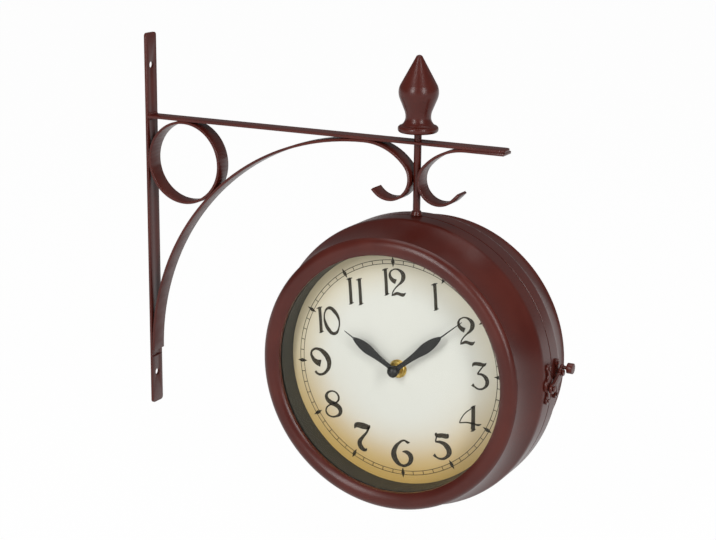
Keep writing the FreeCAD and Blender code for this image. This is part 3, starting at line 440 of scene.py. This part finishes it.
def shell_outline(side):
    top, lip, band = 0.050, 0.0893, 0.0125
    shoulder, cove, turn = 0.008, 0.058, math.radians(30)
    bend_r, bend_z = drum_radius - shoulder * (1 - math.cos(turn)), band + shoulder * math.sin(turn)
    bead, crown, neck = 0.1021, 0.096, 0.1012
    bead_z, neck_z, lip_z, hem_z = top - 0.0042, top - 0.0068, top - 0.0032, top - 0.006
    if side == "front":
        start, end = [(drum_radius, 0.0005)], [(drum_radius - wall, 0.0005)]
    else:
        spigot, tail, edge, soft = drum_radius - 0.0016, -0.0065, 0.0007, 0.0003
        start = [(spigot, tail), (spigot, edge), (drum_radius - soft, edge), (drum_radius, edge + soft)]
        end = [(drum_radius - wall, edge + 2.2 * wall), (spigot - wall, edge + 0.9 * wall),
               (spigot - wall, tail)]
    return start + [
        (drum_radius, band, shoulder), (bend_r, bend_z, -cove), (neck, neck_z),
        (bead, bead_z, bulge(bead - crown, top - bead_z)), (crown, top, bulge(crown - lip, top - lip_z)),
        (lip, lip_z), (lip, hem_z), (lip + wall, hem_z),
        (lip + wall, lip_z, -bulge(crown - lip - wall, top - lip_z - wall)),
        (crown, top - wall, -bulge(bead - wall - crown, top - bead_z - wall)), (bead - wall, bead_z),
        (neck - wall, neck_z, cove + wall),
        (bend_r - wall * math.cos(turn), bend_z - wall * math.sin(turn), -(shoulder - wall)),
        (drum_radius - wall, band),
    ] + end


def drilled(piece, radius):
    """Cut the rod's hole through a shell piece where the rod comes in on the seam."""
    drill = bmesh.new()
    place = Matrix.Translation((rod_x, 0, case_centre.z + drum_radius))
    bmesh.ops.create_cone(drill, cap_ends=True, segments=48, radius1=radius, radius2=radius, depth=0.02,
                          matrix=place)
    mesh = bpy.data.meshes.new("drill")
    drill.to_mesh(mesh)
    drill.free()
    tool = bpy.data.objects.new("drill", mesh)
    bpy.context.scene.collection.objects.link(tool)
    cut = piece.modifiers.new("cut", "BOOLEAN")
    cut.operation, cut.solver, cut.object = "DIFFERENCE", "EXACT", tool
    whole = bpy.data.meshes.new_from_object(piece.evaluated_get(bpy.context.evaluated_depsgraph_get()))
    piece.modifiers.clear()
    piece.data = whole
    bpy.data.objects.remove(tool)
    bpy.data.meshes.remove(mesh)


for side, hole in (("front", 0.00345), ("rear", 0.0028)):
    shape = turned(shell_outline(side), facing[side], steps=256, step=0.0007)
    shell = new_piece(f"{side}_shell_spun", shape, enamel, carrier[side], [f"{side}_shell"])
    drilled(shell, hole)


# ---- Pane, sleeve and dial -------------------------------------------------------------------------
# Behind the hem lies a flat pane, then a black moulded sleeve that stands on the dial and hides the
# gap, then the dial, printed in cream, turned tan towards its rim by painted shade, most at the bottom
# and on the left, and a deeper yellow towards its foot.


def clear_pane():
    """Glass that mirrors at its outer faces only: an inner one would mirror wholly at a flat angle."""
    made, shader, flow = material("clear_pane", (1, 1, 1, 1), 0.03, 1.0)
    clear = flow.add("ShaderNodeBsdfTransparent", None, {"Color": (0.98, 0.985, 0.98, 1)})
    spot = flow.own_spot()
    haze = flow.noise(spot, 30.0)
    plug(haze.held(0.3, 0.7, 0.02, 0.05), shader, "Roughness")
    outer = 1.0 - flow.add("ShaderNodeNewGeometry", output=6)
    edge = flow.add("ShaderNodeFresnel", None, {"IOR": 1.14}) * outer
    surface = flow.add("ShaderNodeMixShader", None, {0: edge, 1: clear})
    made.node_tree.links.new(shader.outputs[0], surface.socket.node.inputs[2])
    made.node_tree.links.new(surface.socket, made.node_tree.nodes["Material Output"].inputs["Surface"])
    return made


def moulded(name, low, high, roughness=0.5):
    """Black moulding between two near colours, with a fine matt grain."""
    made, shader, flow = material(name, paint(low), roughness)
    spot = flow.own_spot()
    grain = flow.noise(spot, 420.0)
    plug(grain.held(0.3, 0.7, roughness - 0.05, roughness + 0.05), shader, "Roughness")
    plug(grain.held(0.3, 0.7).blend(paint(low), paint(high)), shader, "Base Color")
    return made


def aged_cream():
    """Pale grey-cream in the middle, tan at the rim as painted shade, most at the bottom and on the left,
    and deeper yellow at the foot.
    """
    made, shader, flow = material("aged_cream", paint("#d4d3cc"), 0.55)
    spot = flow.own_spot()
    centred = flow.add("ShaderNodeVectorMath", {"operation": "SUBTRACT"},
                       {0: spot, 1: (case_centre.x, 0, case_centre.z)})
    split = flow.add("ShaderNodeSeparateXYZ", None, {0: centred}).socket.node
    across, up = Flow(flow.tree, split.outputs[0]), Flow(flow.tree, split.outputs[2])
    # Noise that makes the edge of the painted rim shade uneven.
    rim_wobble = flow.noise(spot, 30.0, 4.0)
    per_radius = 1 / 0.0885
    reach = (across * across + up * up) ** 0.5 * per_radius + (rim_wobble - 0.5) * 0.06
    low = (up * -per_radius).held(-0.2, 1.0)
    leftward = (across * -per_radius).held(-0.9, 0.8)
    # Painted shade: the cream darkens to tan towards the rim, most at the bottom and on the left, under the
    # bezel and sleeve.
    rim = reach.held(0.58, 1.03) * (0.5 + low * 0.25 + leftward * 0.25)
    foot = low * reach.held(0.35, 1.0)
    cream = rim.blend(paint("#d6d5ce"), paint("#c4b083"))
    warm = flow.add("ShaderNodeMix", {"data_type": "RGBA"}, {0: foot * 0.85, 6: cream, 7: paint("#c29c4c")},
                    output=2)
    plug(warm, shader, "Base Color")
    return made


pane_finish, dial_finish = clear_pane(), aged_cream()
sleeve_finish = moulded("sleeve_moulding", "#2e2e2b", "#343431")


for side in facing:
    place, body = facing[side], carrier[side]
    pane = turned([(0, 0.042), (0.09285, 0.042), (0.093, 0.04215), (0.093, 0.04383), (0.09285, 0.04398),
                   (0, 0.04398)], place, steps=160)
    new_piece(f"{side}_pane", pane, pane_finish, body, [f"{side}_glass"])
    sleeve = [(0.0885, 0.02662, -0.0002), (0.0887, 0.02662), (0.093, 0.02662), (0.093, 0.02822),
              (0.0912, 0.02822, -0.0004), (0.0908, 0.02862), (0.0908, 0.04198), (0.0893, 0.04198)]
    shape = turned(sleeve, place, steps=192)
    new_piece(f"{side}_sleeve_moulded", shape, sleeve_finish, body, [f"{side}_sleeve"])
    plate = turned([(0.0043, 0.026), (0.093, 0.026), (0.093, 0.0266), (0.0043, 0.0266)], place, steps=192)
    new_piece(f"{side}_dial_plate", plate, dial_finish, body, [f"{side}_dial"])


# ---- Dial print ------------------------------------------------------------------------------------
# Brown-black ink lies on each dial: a double-lined minute track with a tick at each minute and a slim
# diamond at each hour, and twelve pen-drawn numerals. The whole print sits a little turned on the dial.

ink_low, ink_high, print_turn = 0.02662, 0.02665, math.radians(4)
stroke_sets = {
    "0": [[(1, 61, 2.3), (5, 81, 2.3), (16, 95, 3.4), (29, 97, 5.1), (45, 85, 5.7), (57, 68, 4.3),
           (62, 47, 2.3), (58, 24, 2.3), (48, 7, 4.0), (32, 3, 4.8), (16, 17, 6.0), (5, 38, 4.8),
           (1, 61, 2.3)]],
    "1": [[(14, 94, 5.0), (15, 48, 4.8), (15, 6, 5.0)], [(1, 92, 1.0), (13, 95, 3.4), (25, 100, 0.8)],
          [(6, 0, 0.8), (15, 5, 3.1), (26, 9, 0.8)]],
    "2": [[(24, 53, 7.2), (12, 58, 6.2), (2, 71, 4.6), (3, 86, 2.6), (14, 96, 1.8), (27, 99, 2.1),
           (42, 94, 3.9), (53, 82, 6.4), (53, 67, 6.4), (46, 54, 4.1), (32, 41, 2.3), (19, 28, 1.8),
           (10, 15, 1.8), (6, 3, 1.3)],
          [(4, 1, 1.0), (14, 6, 3.3), (27, 11, 4.4), (39, 8, 4.6), (49, 7, 5.1), (61, 15, 0.8)]],
    "3": [[(6, 82, 1.0), (12, 91, 4.6), (34, 93, 5.6), (51, 92, 4.6), (60, 99, 1.0)],
          [(52, 92, 2.0), (37, 74, 2.0), (24, 57, 2.0)],
          [(24, 56, 2.0), (40, 56, 3.6), (57, 43, 6.1), (60, 26, 5.6), (49, 9, 3.1), (29, 2, 2.6),
           (12, 9, 2.6), (3, 17, 5.1)]],
    "4": [[(57, 93, 5.8), (55, 49, 5.8), (52, 8, 6.3)], [(47, 88, 1.1), (56, 92, 3.7), (66, 99, 1.1)],
          [(43, 1, 1.1), (52, 6, 3.2), (63, 12, 1.1)],
          [(48, 85, 1.6), (25, 67, 1.6), (8, 44, 1.6), (1, 29, 1.6)],
          [(1, 29, 1.6), (30, 33, 2.1), (58, 30, 2.6), (74, 28, 3.2), (85, 32, 1.1)]],
    "5": [[(15, 99, 1.1), (16, 91, 6.0), (38, 90, 6.6), (57, 91, 7.7), (62, 99, 1.1)],
          [(17, 89, 2.2), (11, 64, 2.2)],
          [(10, 64, 2.2), (33, 64, 4.9), (55, 51, 8.2), (63, 30, 7.7), (52, 11, 4.4), (31, 2, 3.3),
           (13, 6, 2.7), (2, 15, 4.9)]],
    "6": [[(71, 93, 1.1), (62, 92, 4.1), (49, 98, 2.6), (29, 88, 3.4), (9, 63, 6.7), (4, 39, 9.0),
           (13, 17, 7.5), (34, 2, 4.1), (55, 6, 4.1), (70, 22, 6.4), (71, 41, 7.9), (57, 54, 6.0),
           (39, 55, 1.5)]],
    "7": [[(1, 81, 1.2), (11, 94, 7.7), (36, 94, 9.6), (59, 93, 7.7), (67, 99, 1.2)],
          [(61, 93, 3.8), (52, 72, 3.1), (32, 49, 4.6), (20, 29, 6.9), (26, 11, 7.7), (43, 3, 4.6),
           (49, 9, 1.2)]],
    "8": [[(6, 74, 5.4), (8, 86, 3.9), (19, 96, 2.9), (37, 99, 2.2), (52, 90, 2.9), (57, 74, 3.2),
           (47, 58, 2.5), (29, 50, 2.2), (11, 41, 2.2), (1, 25, 2.5), (5, 11, 2.9), (20, 2, 2.5),
           (41, 4, 2.9), (59, 17, 5.0), (59, 35, 7.2), (42, 49, 7.2), (20, 57, 7.2), (6, 74, 5.4)]],
    "9": [[(39, 43, 10.8), (21, 48, 7.9), (6, 64, 5.0), (2, 81, 3.2), (14, 95, 3.2), (33, 97, 4.3),
           (54, 86, 7.5), (71, 63, 8.3), (73, 38, 6.1), (61, 15, 4.3), (40, 2, 3.6), (24, 3, 3.6),
           (14, 12, 3.9)]],
}
figure_widths = {"0": 63, "1": 26, "2": 61, "3": 63, "4": 85, "5": 67, "6": 75, "7": 67, "8": 63, "9": 76}


def figure(strokes):
    """One numeral as flat pen strokes of changing width, in hundredths of its height."""
    pen_weight = 1.3
    curve = bpy.data.curves.new("figure", "CURVE")
    curve.dimensions, curve.twist_mode, curve.extrude, curve.resolution_u = "3D", "Z_UP", 1.0, 8
    for stroke in strokes:
        line = curve.splines.new("BEZIER")
        closed = stroke[0] == stroke[-1]
        knots = stroke[:-1] if closed else stroke
        line.use_cyclic_u = closed
        line.bezier_points.add(len(knots) - 1)
        for knot, (x, y, half) in zip(line.bezier_points, knots):
            knot.co, knot.radius, knot.tilt = (x, y, 0), half * pen_weight, math.pi / 2
            knot.handle_left_type = knot.handle_right_type = "AUTO"
    holder = bpy.data.objects.new("figure", curve)
    bpy.context.scene.collection.objects.link(holder)
    mesh = bpy.data.meshes.new_from_object(holder.evaluated_get(bpy.context.evaluated_depsgraph_get()))
    bpy.data.objects.remove(holder)
    shape = bmesh.new()
    shape.from_mesh(mesh)
    bpy.data.meshes.remove(mesh)
    bpy.data.curves.remove(curve)
    bmesh.ops.remove_doubles(shape, verts=shape.verts, dist=0.01)
    shape.normal_update()
    bmesh.ops.reverse_faces(shape, faces=[f for f in shape.faces if f.normal.z < 0])
    return shape


def numeral(text, centre, height=0.0206):
    """A number's figures side by side about centre, as a thin layer of ink."""
    gap = 13 if text == "11" else 4
    width = sum(figure_widths[c] for c in text) + gap * (len(text) - 1)
    start, shapes = -width / 2, []
    for c in text:
        shape = figure(stroke_sets[c])
        bmesh.ops.translate(shape, vec=(start, -50, 0), verts=shape.verts)
        shapes.append(shape)
        start += figure_widths[c] + gap
    whole = gathered(shapes)
    scale = height / 100
    bmesh.ops.scale(whole, vec=(scale, scale, scale), verts=whole.verts)
    bmesh.ops.translate(whole, vec=(centre.x, centre.y, ink_high), verts=whole.verts)
    bmesh.ops.solidify(whole, geom=whole.faces, thickness=ink_high - ink_low)
    return whole


def printed_layer():
    line_half, tick_radius, numeral_radius = 0.00024, 0.08035, 0.065
    shapes = []
    flat, middle = Matrix(), (ink_low + ink_high) / 2
    for radius in (0.0818, 0.0789):
        band = [(radius - line_half, ink_low), (radius + line_half, ink_low),
                (radius + line_half, ink_high), (radius - line_half, ink_high)]
        shapes.append(turned(band, flat, steps=240))
    for minute in range(60):
        clockwise = Matrix.Rotation(-math.tau * minute / 60, 4, "Z")
        shape = bmesh.new()
        out = clockwise @ Matrix.Translation((0, tick_radius, middle))
        if minute % 5:
            size = Matrix.Diagonal((0.00055, 0.0029, ink_high - ink_low, 1))
            bmesh.ops.create_cube(shape, size=1.0, matrix=out @ size)
        else:
            size = Matrix.Diagonal((0.0015, 0.0041, 1, 1))
            bmesh.ops.create_cone(shape, cap_ends=True, segments=4, radius1=1.0, radius2=1.0,
                                  depth=ink_high - ink_low, matrix=out @ size)
        shapes.append(shape)
    for hour in range(1, 13):
        turn = math.tau * hour / 12
        shapes.append(numeral(str(hour), Vector((math.sin(turn), math.cos(turn))) * numeral_radius))
    return gathered(shapes)


def dial_ink():
    made, shader, flow = material("dial_ink", paint("#241c0c"), 0.5)
    spot = flow.own_spot()
    wear = flow.noise(spot, 260.0, 3.0)
    plug(wear.held(0.35, 0.75).blend(paint("#221a0a"), paint("#332914")), shader, "Base Color")
    return made


ink = dial_ink()
for side in facing:
    layer = printed_layer()
    bmesh.ops.transform(layer, matrix=facing[side] @ Matrix.Rotation(print_turn, 4, "Z"), verts=layer.verts)
    new_piece(f"{side}_dial_print", layer, ink, carrier[side])


# ---- Behind the dials ------------------------------------------------------------------------------
# Out of sight in the case: a dished zinc ring that holds each dial, pane and sleeve, a black moulded
# quartz movement on each dial, its cell in a plain dark sleeve and its setting wheel.


def sleeved_cell():
    made, shader, flow = material("sleeved_cell", paint("#27364d"), 0.3)
    spot = flow.own_spot()
    cloud = flow.noise(spot, 90.0)
    plug(cloud.held(0.3, 0.7).blend(paint("#243248"), paint("#2b3a52")), shader, "Base Color")
    plug(cloud.held(0.3, 0.7, 0.26, 0.34), shader, "Roughness")
    return made


case_moulding, cell_finish = moulded("case_moulding", "#1d1d1d", "#232323", 0.45), sleeved_cell()
for side in facing:
    for name, finish, slot, width in (
        ("retainer", plated, "zinc_steel", 0.0001), ("movement", case_moulding, "black_plastic", 0.0003),
        ("battery", cell_finish, "cell_sleeve", 0.0003),
    ):
        node = f"{side}_{name}"
        new_piece(f"{node}_made", merged(node), finish, carrier[side], [node], width)
    wheel = f"{side}_set_wheel"
    new_piece(f"{wheel}_made", merged(wheel), case_moulding, f"{side}_setter", [wheel],
              0.0002)


# ---- Dial centre -----------------------------------------------------------------------------------
# A threaded brass bush comes out through the dial with a brass washer and a round nut on it. Inside it
# turn the hour hand's brass tube and the minute hand's steel arbor. The brass has gone a little brown.


def old_brass():
    made, shader, flow = material("old_brass", paint("#b08d4e"), 0.34, 1.0)
    spot = flow.own_spot()
    tarnish = flow.noise(spot, 240.0, 4.0)
    plug(tarnish.held(0.35, 0.7).blend(paint("#dcc070"), paint("#b08f48")), shader, "Base Color")
    plug(tarnish.held(0.3, 0.7, 0.28, 0.46), shader, "Roughness")
    return made


brass = old_brass()
for side in facing:
    for name in ("bush", "bush_washer", "bush_nut"):
        node = f"{side}_{name}"
        new_piece(f"{node}_turned", merged(node), brass, carrier[side], [node], 0.00012)
    node = f"{side}_hour_tube"
    new_piece(f"{node}_turned", merged(node), brass, f"{side}_hour", [node], 0.0001)
    node = f"{side}_minute_arbor"
    new_piece(f"{node}_turned", merged(node), plated, f"{side}_minute", [node], 0.0002)


# ---- Hands and cap nut -----------------------------------------------------------------------------
# Lance-shaped hands pressed from thin sheet, each with a low ridge along its middle and a collet at
# its root, in satin black. A domed black nut closes the arbor. They show nine minutes past ten.


def satin_black():
    made, shader, flow = material("satin_black", paint("#191817"), 0.4)
    spot = flow.own_spot()
    dust = flow.noise(spot, 320.0, 3.0)
    plug(dust.held(0.3, 0.75).blend(paint("#0f0e0e"), paint("#1a1816")), shader, "Base Color")
    plug(dust.held(0.3, 0.7, 0.34, 0.46), shader, "Roughness")
    return made


def hand(low, bore, length, shoulder, belly, half_width):
    """A hand that points to +y: a ridged blade on a collet that grips its tube or arbor."""
    thickness, collet, needle = 0.0005, 0.0036, 0.00055
    neck = needle * 2.6
    side_line = [(0.002, 0.003), (0.002, collet, -belly * 4), (half_width, belly, belly * 1.2),
                 (neck, shoulder), (needle, shoulder + neck), (needle / 2, length)]
    points = profile_points(side_line, 0.0012)
    rows = len(points)
    blade = bmesh.new()
    bmesh.ops.create_grid(blade, x_segments=2, y_segments=rows - 1, size=1.0)
    for vert in blade.verts:
        point = points[round((vert.co.y + 1) / 2 * (rows - 1))]
        drop = abs(vert.co.x) * thickness * 0.7
        vert.co = (vert.co.x * point.x, point.y, low + thickness - drop)
    lower = bmesh.ops.extrude_face_region(blade, geom=blade.faces[:], use_keep_orig=True)
    for item in lower["geom"]:
        if isinstance(item, bmesh.types.BMVert):
            item.co.z = low
    bmesh.ops.recalc_face_normals(blade, faces=blade.faces)
    ring = [(bore, low - 0.001), (collet, low - 0.001), (collet, low + thickness - 0.0001),
            (collet - 0.0001, low + thickness), (bore, low + thickness)]
    return gathered([blade, turned(ring, Matrix(), steps=64)])


def cap_nut(low, tip):
    radius, height, bore = 0.0043, 0.0036, 0.00152
    dome = bulge(radius, height * 0.75)
    return turned([(bore, low), (radius, low), (radius, low + height / 4, dome), (0, low + height),
                   (0, tip), (bore, tip)], Matrix(), steps=64, step=0.0002)


black = satin_black()
for side in facing:
    shown = {"hour": math.radians(300.5), "minute": math.radians(50)}
    blades = {
        "hour": hand(0.0325, 0.00257, 0.0483, 0.0386, 0.022, 0.0034),
        "minute": hand(0.0349, 0.00152, 0.070, 0.0477, 0.031, 0.0037),
    }
    for name, shape in blades.items():
        place = facing[side] @ Matrix.Rotation(-shown[name], 4, "Z")
        bmesh.ops.transform(shape, matrix=place, verts=shape.verts)
        node = f"{side}_{name}_hand"
        new_piece(f"{node}_pressed", shape, black, f"{side}_{name}", [node])
    nut = cap_nut(0.03542, 0.03644)
    bmesh.ops.transform(nut, matrix=facing[side], verts=nut.verts)
    node = f"{side}_cap_nut"
    new_piece(f"{node}_turned", nut, black, f"{side}_minute", [node])


# ---- Hinge -----------------------------------------------------------------------------------------
# A small butt hinge on the side away from the latch: two painted leaves riveted to the shells, with a
# plated pin through their knuckles.

for node, body, finish, slot in (
    ("hinge_leaf_front", "front_door", enamel, "oxblood_paint"),
    ("hinge_leaf_rear", "bracket", enamel, "oxblood_paint"),
    ("hinge_pin", "bracket", plated, "zinc_steel"),
    ("hinge_rivets_front", "front_door", plated, "zinc_steel"),
    ("hinge_rivets_rear", "bracket", plated, "zinc_steel"),
):
    new_piece(f"{node}_made", merged(node), finish, body, [node], 0.00015)


# ---- Latch -----------------------------------------------------------------------------------------
# Two leaf-shaped cast plates, nailed on either side of the seam, each with a headed stud. A cast hook
# turns on the front stud and drops over the rear one. All of it is painted with the case.


def painted_nails():
    """Nail heads under a thin coat of the case's paint, with pale patches painted on them as highlights."""
    made, shader, flow = material("painted_nails", paint("#4a1d17"), 0.32)
    spot = flow.own_spot()
    glint_spots = flow.noise(spot, 700.0, 3.0)
    # Painted highlight: pale pinkish-grey patches stand for the glints on the nail heads.
    plug(glint_spots.held(0.6, 0.75).blend(paint("#4a1c16"), paint("#8a7468")), shader, "Base Color")
    plug(glint_spots.held(0.3, 0.7, 0.28, 0.4), shader, "Roughness")
    return made


nail_paint = painted_nails()
for node, body, finish, slot, width in (
    ("latch_plate_front", "front_door", enamel, "oxblood_paint", 0.0004),
    ("latch_plate_rear", "bracket", enamel, "oxblood_paint", 0.0004),
    ("latch_nails_front", "front_door", nail_paint, "zinc_steel", 0.0003),
    ("latch_nails_rear", "bracket", nail_paint, "zinc_steel", 0.0003),
    ("latch_pivot", "front_door", enamel, "oxblood_paint", 0.0004),
    ("latch_catch", "bracket", enamel, "oxblood_paint", 0.0004),
    ("latch_hook", "latch_hook", enamel, "oxblood_paint", 0.0004),
):
    new_piece(f"{node}_cast", merged(node), finish, body, [node], width)
